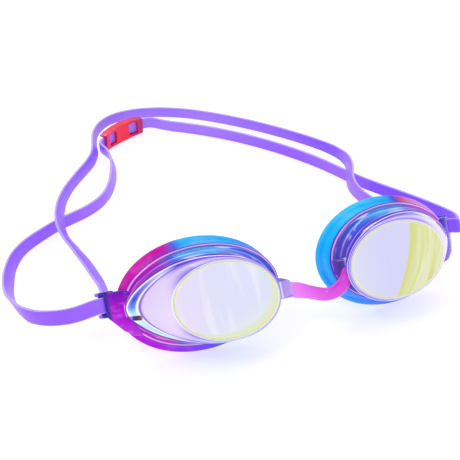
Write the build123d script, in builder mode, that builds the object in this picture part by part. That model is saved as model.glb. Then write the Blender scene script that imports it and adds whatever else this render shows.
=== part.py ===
from build123d import *
import copy
import math
import os

os.makedirs("parts", exist_ok=True)

# Overall layout, millimetres. +X is to the right of someone facing the lenses,
# the lenses face -Y and the strap lies towards +Y on the table at Z = 0.
LENS_SPACING = 64.0
FACE_HEIGHT = 25.87
FACE_TILT = 32.7

# Lens
LENS_A = 18.0
LENS_B = 12.7
LENS_CANT = 6.0
LENS_THICK = 1.8
LENS_GAP = 0.12

# Eyecup
WALL = 1.4
RIM = 1.2
WAIST_A = 21.2
WAIST_B = 15.0
WAIST = (3.2, 1.4)
FLANGE_A = 26.6
FLANGE_B = 17.2
FLANGE_AT = (4.6, 2.6)
FLANGE_DEPTH = 12.0
FLANGE_THICK = 1.5
FLANGE_LEAN = 10.8
SHOULDER_SLOPE = 53.0

# Strap post at the end of each arm
POST_U = 36.3
POST_V = 5.5
POST_DEPTH = 27.5
POST_RADIUS = 1.1
SLOT_TALL = 6.2

# Seal
SEAL_A = 28.2
SEAL_B = 20.0
SEAL_AT = (4.6, 2.8)
SEAL_START = 13.55
SEAL_ROOM = 0.15

# Strap
STRAP_WIDTH = 5.6
STRAP_THICK = 1.0
STRAP_STEP = 6.0
POST_GAP = 0.25

# Clip, and the arc of strap that runs through it
ARC_X = 0.7
ARC_Y = 135.7
ARC_RADIUS = 45.0
ARC_MIDDLE = 120.0
ARC_HALF = 20.0
CLIP_HALF = 16.6
CLIP_TALL = 9.0
CLIP_END_TALL = 7.4
CLIP_Z = 4.6
CLIP_FRONT = 1.3
CLIP_REAR = 1.2
CHANNEL = 1.5
SLOT_HEIGHT = 6.0

# Nose bridge
BRIDGE_TALL = 4.6
BRIDGE_DEEP = 3.6
BRIDGE_GAP = 0.2
BRIDGE_PATH = [
    (-7.5, 7.7, 18.6),
    (-3.5, 7.0, 17.5),
    (2.0, 5.0, 16.2),
    (6.2, 3.0, 15.8),
    (9.6, 1.4, 17.9),
    (12.0, 1.2, 21.0),
    (13.6, 3.4, 22.6),
    (14.6, 6.2, 23.4),
]

# Strap route: x, y, height of the middle of the band, and how far its top edge
# leans to the right of the direction of travel, in degrees. Travel starts at
# the clip, goes round the left post, along the back, round the right post and
# returns to the clip.
INNER_LEFT = [
    (-33.5, 158.0, 4.6, 8),
    (-33.2, 146.0, 4.2, 20),
    (-36.0, 135.0, 3.6, 20),
    (-39.5, 126.5, 3.2, 14),
    (-46.3, 116.5, 3.0, 6),
    (-55.8, 109.8, 2.9, 4),
    (-66.0, 105.3, 2.9, 4),
    (-75.3, 99.6, 3.0, 8),
    (-84.6, 92.0, 3.2, 15),
    (-91.0, 81.5, 3.9, 30),
    (-94.8, 68.5, 5.0, 42),
    (-96.3, 55.0, 7.0, 34),
    (-95.0, 44.5, 8.8, 14),
    (-91.0, 35.0, 10.8, -6),
    (-84.0, 28.5, 13.0, -20),
    (-77.0, 25.6, 14.8, -31),
]
OUTER = [
    (-65.2, 36.0, 13.0, -12),
    (-65.2, 49.0, 12.2, -20),
    (-66.4, 62.0, 11.6, -26),
    (-68.0, 73.0, 11.2, -30),
    (-69.3, 84.0, 10.6, -35),
    (-68.4, 96.4, 9.8, -36),
    (-65.9, 106.8, 9.0, -30),
    (-61.6, 118.5, 7.8, -18),
    (-55.2, 130.4, 6.6, -10),
    (-47.3, 142.5, 5.4, -12),
    (-41.3, 152.0, 4.8, -20),
    (-37.8, 161.0, 4.8, -24),
    (-35.8, 170.0, 5.2, -16),
    (-32.0, 179.0, 5.6, -4),
    (-25.0, 186.4, 5.8, 4),
    (-12.6, 190.6, 5.4, 6),
    (5.6, 188.0, 4.6, 6),
    (16.0, 183.3, 4.0, 6),
    (31.0, 171.7, 3.4, 5),
    (44.5, 157.2, 3.2, 5),
    (56.0, 139.6, 3.8, 5),
    (62.0, 125.9, 5.0, 4),
    (65.0, 110.8, 7.0, -4),
    (64.0, 100.0, 8.6, -16),
    (59.3, 88.2, 9.9, -28),
    (54.2, 77.0, 10.9, -24),
    (52.6, 64.0, 11.8, -14),
    (56.0, 48.0, 12.6, -14),
    (62.5, 35.0, 13.2, -12),
]
INNER_RIGHT = [
    (73.6, 25.4, 15.1, -30),
    (76.6, 29.0, 13.8, -15),
    (77.9, 35.0, 12.2, -2),
    (77.5, 43.0, 10.4, 2),
    (74.6, 60.5, 7.0, 0),
    (69.5, 77.1, 4.6, 0),
    (63.2, 94.0, 3.2, 0),
    (58.8, 106.4, 2.9, 0),
    (49.4, 125.3, 2.85, 0),
    (38.2, 142.1, 2.85, 0),
    (25.5, 156.9, 2.9, 0),
    (11.0, 168.8, 3.4, 0),
    (-0.5, 176.6, 4.2, 0),
]

TILT = math.radians(FACE_TILT)
FACE = Plane(
    origin=(LENS_SPACING / 2, 0, FACE_HEIGHT),
    x_dir=(1, 0, 0),
    z_dir=(0, -math.cos(TILT), math.sin(TILT)),
)


def face_point(u, v, depth):
    """Point given outwards, upwards and backwards from the lens centre."""
    return FACE.from_local_coords(Vector(u, v, -depth))


def leaning(point, lean):
    """Plane through a point, turned back towards the temple from the lens face."""
    turn = math.radians(lean)
    return Plane(
        origin=point,
        x_dir=FACE.x_dir * math.cos(turn) - FACE.z_dir * math.sin(turn),
        z_dir=FACE.z_dir * math.cos(turn) + FACE.x_dir * math.sin(turn),
    )


def behind(depth, lean=0):
    """Plane at a depth behind the lens centre, turned back at the temple if asked."""
    return leaning(face_point(0, 0, depth), lean)


def oval(depth, lean, centre, a, b, cant=0):
    """Ellipse on a plane behind the lens face, as one section of a loft."""
    with BuildSketch(behind(depth, lean)) as section:
        with Locations(centre):
            Ellipse(a, b, rotation=cant)
    return section.sketch


# ---------------------------------------------------------------- lens
with BuildPart() as right_lens:
    with BuildSketch(behind(0)):
        Ellipse(LENS_A, LENS_B, rotation=LENS_CANT)
    extrude(amount=-LENS_THICK)
    chamfer(right_lens.faces().sort_by(Axis(FACE.origin, FACE.z_dir))[-1].edges(), 0.35)
right_lens.part.label = "right_lens"

with BuildPart() as left_lens:
    mirror(right_lens.part, about=Plane.YZ)
left_lens.part.label = "left_lens"

# ------------------------------------------------------- side shoulder
# Sloping clear shoulder that runs from the lens to a rounded tip at the temple.
slope = leaning(face_point(17.6, 0, 0.35), SHOULDER_SLOPE)

with BuildPart() as shoulder:
    with BuildSketch(behind(22)):
        Ellipse(LENS_A + RIM - 0.4, LENS_B + RIM - 0.4, rotation=LENS_CANT)
        with Locations((29.8, 3.8)):
            Circle(1.7)
        with Locations((25.2, -1.2)):
            Circle(5.2)
        make_hull()
    extrude(amount=22)
    split(bisect_by=slope, keep=Keep.BOTTOM)
    split(bisect_by=behind(FLANGE_DEPTH + 0.7, FLANGE_LEAN), keep=Keep.TOP)

with BuildPart() as shoulder_inside:
    with BuildSketch(behind(24)):
        Ellipse(LENS_A - 2.0, LENS_B - 2.0, rotation=LENS_CANT)
        with Locations((27.2, 3.0)):
            Circle(1.0)
        with Locations((24.2, -1.0)):
            Circle(4.0)
        make_hull()
    extrude(amount=24)
    split(bisect_by=slope.offset(-WALL), keep=Keep.BOTTOM)

# ----------------------------------------------------------------- arm
# Room for the seal, which the arm passes outside.
with BuildPart() as seal_room:
    loft([
        oval(FLANGE_DEPTH + 0.7, FLANGE_LEAN, FLANGE_AT, FLANGE_A + 0.1, FLANGE_B + 0.1),
        oval(17, 7.5, SEAL_AT, SEAL_A - 0.5 + SEAL_ROOM, SEAL_B - 1.1 + SEAL_ROOM),
        oval(19.8, 5, SEAL_AT, SEAL_A + SEAL_ROOM, SEAL_B + SEAL_ROOM),
        oval(22, 5, SEAL_AT, SEAL_A + SEAL_ROOM, SEAL_B + SEAL_ROOM),
    ])

with BuildPart() as arm:
    with BuildSketch(FACE):
        with BuildLine():
            Polyline((24, 11.3), (28, 11.2), (33.5, 10.6), (38.0, 9.7), (38.0, 1.4),
                     (36.0, 1.2), (33.2, -1.8), (27.6, -6.8), (24, -9), close=True)
        make_face()
    extrude(amount=-30)
    with BuildSketch(Plane(origin=face_point(0, 16, 0), x_dir=(1, 0, 0), z_dir=FACE.y_dir)):
        with BuildLine():
            Polyline((24, 10.5), (31.5, 18.2), (35.4, 23.0), (38.0, 26.4), (38.0, 29.2),
                     (35.0, 29.2), (32.6, 27.4), (32.6, 25.0), (33.3, 23.8), (33.3, 21.4), (31.4, 19.4),
                     (24, 17.6), close=True)
        make_face()
    extrude(amount=-32, mode=Mode.INTERSECT)
    add(seal_room.part, mode=Mode.SUBTRACT)

# --------------------------------------------------------- nose bridge
with BuildPart() as nose_bridge:
    with BuildLine():
        bridge_path = Spline(*BRIDGE_PATH)
    with BuildSketch(Plane(origin=bridge_path @ 0, x_dir=(0, 0, 1), z_dir=bridge_path % 0)):
        Ellipse(BRIDGE_TALL / 2, BRIDGE_DEEP / 2)
    sweep(path=bridge_path)
nose_bridge.part.label = "nose_bridge"

with BuildPart() as bridge_room:
    with BuildLine():
        room_path = Spline(*BRIDGE_PATH)
    with BuildSketch(Plane(origin=room_path @ 0, x_dir=(0, 0, 1), z_dir=room_path % 0)):
        Ellipse(BRIDGE_TALL / 2 + BRIDGE_GAP, BRIDGE_DEEP / 2 + BRIDGE_GAP)
    sweep(path=room_path)
    extrude(bridge_room.faces().filter_by(GeomType.PLANE), amount=0.4)

# -------------------------------------------------------------- eyecup
# Built once for the right side and mirrored; the two nasal lugs differ.
post_plane = Plane(
    origin=face_point(POST_U, POST_V, POST_DEPTH), x_dir=(1, 0, 0), z_dir=FACE.y_dir
)

# Hollow behind the lens.
with BuildPart() as cup_inside:
    loft([
        oval(2.6, 0, (0, 0), LENS_A - 1.6, LENS_B - 1.6, LENS_CANT),
        oval(6.4, 5.5, WAIST, WAIST_A - WALL, WAIST_B - WALL),
        oval(FLANGE_DEPTH + FLANGE_THICK + 0.1, FLANGE_LEAN, FLANGE_AT, FLANGE_A - 2.6, FLANGE_B - 2.6),
    ])

with BuildPart() as cup:
    loft([
        oval(0, 0, (0, 0), LENS_A + RIM, LENS_B + RIM, LENS_CANT),
        oval(6, 5.5, WAIST, WAIST_A, WAIST_B),
        oval(FLANGE_DEPTH, FLANGE_LEAN, FLANGE_AT, FLANGE_A - 1.3, FLANGE_B - 1.3),
    ])
    extrude(oval(FLANGE_DEPTH, FLANGE_LEAN, FLANGE_AT, FLANGE_A, FLANGE_B), amount=-FLANGE_THICK)
    add(shoulder.part)
    add(arm.part)
    add(shoulder_inside.part, mode=Mode.SUBTRACT)
    add(cup_inside.part, mode=Mode.SUBTRACT)
    # lens seat and the opening behind it
    with BuildSketch(behind(-0.1)):
        Ellipse(LENS_A + LENS_GAP, LENS_B + LENS_GAP, rotation=LENS_CANT)
    extrude(amount=-LENS_THICK - 0.3, mode=Mode.SUBTRACT)
    with BuildSketch(behind(1)):
        Ellipse(LENS_A - 1.2, LENS_B - 1.2, rotation=LENS_CANT)
    extrude(amount=-3.5, mode=Mode.SUBTRACT)
    # slot for the strap, with the post standing in it
    with BuildSketch(post_plane):
        with Locations((1.2, 0.8)):
            Rectangle(7.6, 7.4)
    extrude(amount=SLOT_TALL / 2, both=True, mode=Mode.SUBTRACT)
    with BuildSketch(post_plane):
        Circle(POST_RADIUS)
    extrude(amount=SLOT_TALL / 2 + 0.4, both=True)

with BuildPart() as right_eyecup:
    add(cup.part)
    # short nasal boss that takes the end of the bridge
    with BuildSketch(behind(4.2)):
        with BuildLine():
            Polyline((-15.2, 4.8), (-20.4, 4.2), (-21.8, 1.0), (-20.8, -3.0), (-15.2, -3.6), close=True)
        make_face()
    extrude(amount=-4.8)
    add(bridge_room.part, mode=Mode.SUBTRACT)
right_eyecup.part.label = "right_eyecup"

# Long nasal lug that takes the other end.
left_face = Plane(
    origin=(-LENS_SPACING / 2, 0, FACE_HEIGHT), x_dir=(1, 0, 0), z_dir=FACE.z_dir
)
left_side = Plane(
    origin=left_face.from_local_coords(Vector(0, 10, 0)), x_dir=(1, 0, 0), z_dir=FACE.y_dir
)

with BuildPart() as left_lug:
    with BuildSketch(left_face):
        with BuildLine():
            Polyline((17.6, 4.2), (21.6, 3.4), (28.2, 1.6), (28.2, -5.2), (20.6, -4.2),
                     (17.6, -4.4), close=True)
        make_face()
    extrude(amount=-16)
    with BuildSketch(left_side):
        with BuildLine():
            Polyline((17.6, 4.6), (23.5, 5.8), (28.4, 7.0), (28.4, 12.4), (24.8, 12.4),
                     (22.8, 9.0), (17.6, 8.2), close=True)
        make_face()
    extrude(amount=-20, mode=Mode.INTERSECT)

with BuildPart() as left_eyecup:
    mirror(cup.part, about=Plane.YZ)
    add(left_lug.part)
    add(bridge_room.part, mode=Mode.SUBTRACT)
left_eyecup.part.label = "left_eyecup"

# ---------------------------------------------------------------- seal
with BuildPart() as right_seal:
    loft([
        oval(SEAL_START, FLANGE_LEAN, FLANGE_AT, FLANGE_A, FLANGE_B),
        oval(17, 7.5, SEAL_AT, SEAL_A - 0.5, SEAL_B - 1.1),
        oval(19.8, 5, SEAL_AT, SEAL_A, SEAL_B),
        oval(21.2, 5, SEAL_AT, SEAL_A - 0.8, SEAL_B - 0.9),
    ])
    loft(
        [
            oval(SEAL_START - 0.1, FLANGE_LEAN, FLANGE_AT, FLANGE_A - 2.6, FLANGE_B - 2.6),
            oval(17, 7.5, SEAL_AT, SEAL_A - 4.6, SEAL_B - 5.2),
            oval(21.4, 5, SEAL_AT, SEAL_A - 5.6, SEAL_B - 5.8),
        ],
        mode=Mode.SUBTRACT,
    )
right_seal.part.label = "right_seal"

with BuildPart() as left_seal:
    mirror(right_seal.part, about=Plane.YZ)
left_seal.part.label = "left_seal"

# --------------------------------------------------------------- strap
UP = Vector(0, 0, 1)


def band_plane(point, along, width):
    """Plane across the band: X through its thickness, Y across its width."""
    return Plane(origin=point, x_dir=width.cross(along), z_dir=along)


def lean_axis(along):
    """Most upright direction across the line of travel."""
    return (UP - along * along.dot(UP)).normalized()


def lean_of(plane):
    """How far a plane's band leans to the right of the line of travel, in degrees."""
    upright = lean_axis(plane.z_dir)
    right = plane.z_dir.cross(upright)
    return math.degrees(math.atan2(plane.y_dir.dot(right), plane.y_dir.dot(upright)))


def route_planes(stations, first, last):
    """Planes across the band along one stretch, between two given end planes."""
    points = [first.origin, *[Vector(x, y, z) for x, y, z, lean in stations], last.origin]
    leans = [lean_of(first), *[lean for x, y, z, lean in stations], lean_of(last)]
    run = [0.0]
    for start, end in zip(points, points[1:]):
        run.append(run[-1] + (end - start).length)
    path = Edge.make_spline(
        points, tangents=[first.z_dir, last.z_dir], parameters=run, scale=False
    )
    planes = [first]
    spans = round(run[-1] / STRAP_STEP)
    for i in range(1, spans):
        travelled = run[-1] * i / spans
        k = max(n for n in range(len(run) - 1) if run[n] <= travelled)
        share = (travelled - run[k]) / (run[k + 1] - run[k])
        lean = leans[k] + (leans[k + 1] - leans[k]) * share * share * (3 - 2 * share)
        point = path.position_at(travelled / run[-1], PositionMode.PARAMETER)
        along = path.tangent_at(travelled / run[-1], PositionMode.PARAMETER)
        planes.append(band_plane(point, along, lean_axis(along).rotate(Axis((0, 0, 0), along), lean)))
    planes.append(last)
    return planes


def arc_plane(angle):
    """Plane across the band where it follows the clip's arc, travelling left."""
    turn = math.radians(angle)
    point = Vector(
        ARC_X + ARC_RADIUS * math.cos(turn), ARC_Y + ARC_RADIUS * math.sin(turn), CLIP_Z
    )
    return band_plane(point, Vector(-math.sin(turn), math.cos(turn), 0), UP)


def wrap_plane(side, angle, travel):
    """Plane across the band where it wraps a post; angle 0 faces outwards and
    90 faces the front. Travel is 1 towards the inside of the post, -1 back out."""
    turn = math.radians(angle)
    out = Vector(side, 0, 0)
    front = FACE.z_dir
    reach = POST_RADIUS + POST_GAP + STRAP_THICK / 2
    middle = face_point(POST_U, POST_V, POST_DEPTH)
    middle = Vector(side * middle.X, middle.Y, middle.Z)
    point = middle + (out * math.cos(turn) + front * math.sin(turn)) * reach
    along = (front * math.cos(turn) - out * math.sin(turn)) * travel
    return band_plane(point, along, FACE.y_dir)


def band(planes):
    """Closed solid through a rectangle on every plane."""
    with BuildPart() as piece:
        for plane in planes:
            with BuildSketch(plane):
                Rectangle(STRAP_THICK, STRAP_WIDTH)
        loft()
    return piece.part


arc_left = [arc_plane(ARC_MIDDLE + a) for a in (0.5, 5.0, 10.0, 15.0, ARC_HALF)]
arc_right = [arc_plane(ARC_MIDDLE - a) for a in (ARC_HALF, 15.0, 10.0, 5.0, 0.5)]
wrap_left = [wrap_plane(-1, a, 1) for a in (70, 92, 114, 136, 158, 180)]
wrap_right = [wrap_plane(1, a, -1) for a in (180, 158, 136, 114, 92, 70)]

with BuildPart() as head_strap:
    add(band(arc_left))
    add(band(route_planes(INNER_LEFT, arc_left[-1], wrap_left[0])))
    add(band(wrap_left))
    add(band(route_planes(OUTER, wrap_left[-1], wrap_right[0])))
    add(band(wrap_right))
    add(band(route_planes(INNER_RIGHT, wrap_right[-1], arc_right[0])))
    add(band(arc_right))
head_strap.part.label = "head_strap"

# ---------------------------------------------------------------- clip
CLIP_INNER = ARC_RADIUS - CHANNEL / 2 - CLIP_FRONT
CLIP_OUTER = ARC_RADIUS + CHANNEL / 2 + CLIP_REAR


def sector(inner, outer, start, end, low, high):
    """Block of a ring round the arc's centre, between two angles and heights."""
    with BuildPart() as block:
        with BuildSketch(Plane.XY.offset(low)):
            with BuildLine():
                a = CenterArc((ARC_X, ARC_Y), inner, start, end - start)
                b = CenterArc((ARC_X, ARC_Y), outer, start, end - start)
                Line(a @ 0, b @ 0)
                Line(a @ 1, b @ 1)
            make_face()
        extrude(amount=high - low)
    return block.part


low = CLIP_Z - CLIP_TALL / 2
high = CLIP_Z + CLIP_TALL / 2
chord = math.radians(ARC_MIDDLE)
outline = Plane(
    origin=(
        ARC_X + ARC_RADIUS * math.cos(chord), ARC_Y + ARC_RADIUS * math.sin(chord), CLIP_Z
    ),
    x_dir=(math.sin(chord), -math.cos(chord), 0),
    z_dir=(-math.cos(chord), -math.sin(chord), 0),
)
END = ARC_RADIUS * math.sin(math.radians(CLIP_HALF)) + 1.0

with BuildPart() as rear_clip:
    add(sector(CLIP_INNER, CLIP_OUTER, ARC_MIDDLE - CLIP_HALF, ARC_MIDDLE + CLIP_HALF, low, high))
    # barrel outline: tallest in the middle
    with BuildSketch(outline):
        with BuildLine():
            ThreePointArc((-END, CLIP_END_TALL / 2), (0, CLIP_TALL / 2), (END, CLIP_END_TALL / 2))
            Line((END, CLIP_END_TALL / 2), (END, -CLIP_END_TALL / 2))
            ThreePointArc((END, -CLIP_END_TALL / 2), (0, -CLIP_TALL / 2), (-END, -CLIP_END_TALL / 2))
            Line((-END, -CLIP_END_TALL / 2), (-END, CLIP_END_TALL / 2))
        make_face()
    extrude(amount=20, both=True, mode=Mode.INTERSECT)
    # channel for the strap
    add(
        sector(
            ARC_RADIUS - CHANNEL / 2, ARC_RADIUS + CHANNEL / 2,
            ARC_MIDDLE - 25, ARC_MIDDLE + 25,
            CLIP_Z - SLOT_HEIGHT / 2, CLIP_Z + SLOT_HEIGHT / 2,
        ),
        mode=Mode.SUBTRACT,
    )
    # two windows in front, and openings behind the end bars and the middle
    for start, end in ((-12.8, -5.6), (5.6, 12.8)):
        add(
            sector(
                CLIP_INNER - 1, ARC_RADIUS, ARC_MIDDLE + start, ARC_MIDDLE + end,
                CLIP_Z - SLOT_HEIGHT / 2, CLIP_Z + SLOT_HEIGHT / 2,
            ),
            mode=Mode.SUBTRACT,
        )
    for start, end in ((-25.0, -12.0), (-6.0, 6.0), (12.0, 25.0)):
        add(
            sector(
                ARC_RADIUS, CLIP_OUTER + 1, ARC_MIDDLE + start, ARC_MIDDLE + end,
                CLIP_Z - SLOT_HEIGHT / 2, CLIP_Z + SLOT_HEIGHT / 2,
            ),
            mode=Mode.SUBTRACT,
        )
rear_clip.part.label = "rear_clip"

# The origin is on the table, in the middle of the footprint.
pieces = [
    right_lens, left_lens, right_eyecup, left_eyecup, right_seal, left_seal,
    nose_bridge, head_strap, rear_clip,
]
extent = Compound(children=[copy.copy(piece.part) for piece in pieces]).bounding_box()
middle = extent.center()
print("moved by", -middle.X, -middle.Y, -extent.min.Z)
for piece in pieces:
    placed = piece.part.moved(Location((-middle.X, -middle.Y, -extent.min.Z)))
    placed.label = piece.part.label
    export_step(placed, "parts/" + placed.label + ".step")
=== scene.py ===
"""Swim goggles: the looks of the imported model, in metres in the same frame as the CAD."""

import math

import bmesh
import bpy
import numpy as np
from mathutils import Matrix, Vector


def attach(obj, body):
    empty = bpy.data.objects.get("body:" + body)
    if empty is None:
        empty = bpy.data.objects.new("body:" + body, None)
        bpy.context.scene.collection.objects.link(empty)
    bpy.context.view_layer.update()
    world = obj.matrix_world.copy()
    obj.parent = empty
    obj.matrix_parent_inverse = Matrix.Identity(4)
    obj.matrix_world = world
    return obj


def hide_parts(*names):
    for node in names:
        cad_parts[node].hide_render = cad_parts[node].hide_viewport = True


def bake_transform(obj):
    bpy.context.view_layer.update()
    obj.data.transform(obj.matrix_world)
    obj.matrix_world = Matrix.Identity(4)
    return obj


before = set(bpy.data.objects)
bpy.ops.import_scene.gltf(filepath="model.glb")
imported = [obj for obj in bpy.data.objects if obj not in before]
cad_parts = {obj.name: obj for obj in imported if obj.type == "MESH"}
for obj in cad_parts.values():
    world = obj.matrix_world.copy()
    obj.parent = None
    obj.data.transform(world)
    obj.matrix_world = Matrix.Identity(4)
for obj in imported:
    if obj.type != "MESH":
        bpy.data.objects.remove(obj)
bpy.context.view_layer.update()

MM = 0.001

# ------------------------------------------------------------------ layout
# Driving sizes in millimetres, as in the CAD before its move to the footprint's middle
MOVED = Vector((9.8743, -91.9993, -0.0420))
LENS_SPACING = 64.0
FACE_HEIGHT = 25.87
FACE_TILT = math.radians(32.7)
OUTWARD = Vector((1, 0, 0))
UPWARD = Vector((0, math.sin(FACE_TILT), math.cos(FACE_TILT)))
BACKWARD = Vector((0, math.cos(FACE_TILT), -math.sin(FACE_TILT)))
# Lens: half width, half height and turn in degrees
LENS_A = 18.0
LENS_B = 12.7
LENS_CANT = 6.0
SIDES = {"left": -1, "right": 1}

# Flange and seal: centres as (u, v) from the lens centre, half widths and half heights.
# The lean towards the temple is in degrees, and the seal starts at its own depth.
FLANGE_AT = (4.6, 2.6)
FLANGE_A = 26.6
FLANGE_B = 17.2
FLANGE_LEAN = 10.8
SEAL_AT = (4.6, 2.8)
SEAL_A = 28.2
SEAL_B = 20.0
SEAL_START = 13.55

# Strap: a post's axis is at (u, v, depth) and the band's middle runs at its reach from
# it. The arc is the clip's, in millimetres and degrees.
STRAP_WIDTH = 5.6
STRAP_THICK = 1.0
STRAP_CORNER = 0.32
POST = (36.3, 5.5, 27.5)
POST_RADIUS = 1.1
POST_REACH = 1.85
ARC_CENTRE = Vector((0.7, 135.7, 4.6))
ARC_RADIUS = 45.0
ARC_MIDDLE = 120.0
ARC_HALF = 20.0

# Middle line of the bridge: x, y, z
BRIDGE_PATH = [
    (-7.5, 7.7, 18.6),
    (-3.5, 7.0, 17.5),
    (2.0, 5.0, 16.2),
    (6.2, 3.0, 15.8),
    (9.6, 1.4, 17.9),
    (12.0, 1.2, 21.0),
    (13.6, 3.4, 22.6),
    (14.6, 6.2, 23.4),
]

# Strap route: x, y, height of the middle of the band, and the lean of its top
# edge to the right of the direction of travel, in degrees. The first five leans of
# OUTER are larger than the CAD's.
INNER_LEFT = [
    (-33.5, 158.0, 4.6, 8),
    (-33.2, 146.0, 4.2, 20),
    (-36.0, 135.0, 3.6, 20),
    (-39.5, 126.5, 3.2, 14),
    (-46.3, 116.5, 3.0, 6),
    (-55.8, 109.8, 2.9, 4),
    (-66.0, 105.3, 2.9, 4),
    (-75.3, 99.6, 3.0, 8),
    (-84.6, 92.0, 3.2, 15),
    (-91.0, 81.5, 3.9, 30),
    (-94.8, 68.5, 5.0, 42),
    (-96.3, 55.0, 7.0, 34),
    (-95.0, 44.5, 8.8, 14),
    (-91.0, 35.0, 10.8, -6),
    (-84.0, 28.5, 13.0, -20),
    (-77.0, 25.6, 14.8, -31),
]
OUTER = [
    (-65.2, 36.0, 13.0, -36),
    (-65.2, 49.0, 12.2, -52),
    (-66.4, 62.0, 11.6, -54),
    (-68.0, 73.0, 11.2, -48),
    (-69.3, 84.0, 10.6, -40),
    (-68.4, 96.4, 9.8, -36),
    (-65.9, 106.8, 9.0, -30),
    (-61.6, 118.5, 7.8, -18),
    (-55.2, 130.4, 6.6, -10),
    (-47.3, 142.5, 5.4, -12),
    (-41.3, 152.0, 4.8, -20),
    (-37.8, 161.0, 4.8, -24),
    (-35.8, 170.0, 5.2, -16),
    (-32.0, 179.0, 5.6, -4),
    (-25.0, 186.4, 5.8, 4),
    (-12.6, 190.6, 5.4, 6),
    (5.6, 188.0, 4.6, 6),
    (16.0, 183.3, 4.0, 6),
    (31.0, 171.7, 3.4, 5),
    (44.5, 157.2, 3.2, 5),
    (56.0, 139.6, 3.8, 5),
    (62.0, 125.9, 5.0, 4),
    (65.0, 110.8, 7.0, -4),
    (64.0, 100.0, 8.6, -16),
    (59.3, 88.2, 9.9, -28),
    (54.2, 77.0, 10.9, -24),
    (52.6, 64.0, 11.8, -14),
    (56.0, 48.0, 12.6, -14),
    (62.5, 35.0, 13.2, -12),
]
INNER_RIGHT = [
    (73.6, 25.4, 15.1, -30),
    (76.6, 29.0, 13.8, -15),
    (77.9, 35.0, 12.2, -2),
    (77.5, 43.0, 10.4, 2),
    (74.6, 60.5, 7.0, 0),
    (69.5, 77.1, 4.6, 0),
    (63.2, 94.0, 3.2, 0),
    (58.8, 106.4, 2.9, 0),
    (49.4, 125.3, 2.85, 0),
    (38.2, 142.1, 2.85, 0),
    (25.5, 156.9, 2.9, 0),
    (11.0, 168.8, 3.4, 0),
    (-0.5, 176.6, 4.2, 0),
]

def place(point):
    """A point of the design, in millimetres, as a point of the scene in metres."""
    return (Vector(point) + MOVED) * MM


def face_point(side, u, v, depth):
    """Design point given outwards, upwards and backwards from a lens centre."""
    out = Vector((side * (LENS_SPACING / 2 + u), 0, FACE_HEIGHT))
    return out + UPWARD * v + BACKWARD * depth


# -------------------------------------------------------------- mesh tools
def mesh_object(name, points, faces, slot):
    """New smooth object from design points and faces; the slot it is given is not used."""
    mesh = bpy.data.meshes.new(name)
    mesh.from_pydata([place(p) for p in points], [], faces)
    made = bmesh.new()
    made.from_mesh(mesh)
    bmesh.ops.recalc_face_normals(made, faces=made.faces)
    made.to_mesh(mesh)
    made.free()
    for face in mesh.polygons:
        face.use_smooth = True
    piece = bpy.data.objects.new(name, mesh)
    bpy.context.scene.collection.objects.link(piece)
    return piece


def wrap_uv(piece, rings, around):
    """UV map "wrap": x round each ring from 0 to 1, y the number of the ring."""
    mesh = piece.data
    layer = mesh.uv_layers.new(name="wrap")
    for face in mesh.polygons:
        spots = [(v % around, v // around) for v in face.vertices]
        ks, rows = [k for k, _ in spots], [i for _, i in spots]
        turn_over = max(ks) - min(ks) > around / 2
        ring_over = max(rows) - min(rows) > rings / 2
        for loop, (k, i) in zip(face.loop_indices, spots):
            k += around if turn_over and k == 0 else 0
            i += rings if ring_over and i == 0 else 0
            layer.data[loop].uv = (k / around, i)


def skin(rings, closed_rings=False):
    """Points and faces of a surface through rings that have equal counts.

    The last ring joins the first, or else both ends are capped.
    """
    count = len(rings[0])
    points = [p for ring in rings for p in ring]
    faces = []
    last = len(rings) if closed_rings else len(rings) - 1
    for i in range(last):
        a, b = i * count, ((i + 1) % len(rings)) * count
        for k in range(count):
            n = (k + 1) % count
            faces.append((a + k, a + n, b + n, b + k))
    if not closed_rings:
        faces.append(tuple(range(count)))
        faces.append(tuple(range((len(rings) - 1) * count, len(rings) * count)))
    return points, faces


def turns(count):
    """Equal steps of a full turn, in radians."""
    return [2 * math.pi * k / count for k in range(count)]


def oval(middle, a, b, count):
    """Ring of points about a middle, with its half axes as vectors."""
    return [middle + a * math.cos(t) + b * math.sin(t) for t in turns(count)]


def rounded_section(thick, wide, radius, steps):
    """Outline of a band with rounded corners, as (across, up) pairs."""
    outline = []
    corners = ((1, 1, 0), (-1, 1, 90), (-1, -1, 180), (1, -1, 270))
    for sx, sy, start in corners:
        for i in range(steps + 1):
            turn = math.radians(start + 90 * i / steps)
            x = sx * (thick / 2 - radius) + radius * math.cos(turn)
            y = sy * (wide / 2 - radius) + radius * math.sin(turn)
            outline.append((x, y))
    return outline


def mix_points(a, b, share):
    """Point part of the way from a to b."""
    return tuple(p + (q - p) * share for p, q in zip(a, b))


def on_lens(turn, a, b, depth):
    """Point of an ellipse that is turned with the lens, as (u, v, depth)."""
    cant = math.radians(LENS_CANT)
    x, y = a * math.cos(turn), b * math.sin(turn)
    u = x * math.cos(cant) - y * math.sin(cant)
    v = x * math.sin(cant) + y * math.cos(cant)
    return u, v, depth


def on_slant(turn, centre, a, b, depth, lean):
    """Point of an ellipse that lies deeper towards the temple, as (u, v, depth)."""
    u = centre[0] + a * math.cos(turn)
    return u, centre[1] + b * math.sin(turn), depth + u * math.tan(math.radians(lean))


def smooth_once(piece):
    """One level of subdivision, in the view and in the render."""
    subdivision = piece.modifiers.new("smooth", "SUBSURF")
    subdivision.levels = subdivision.render_levels = 1


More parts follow.
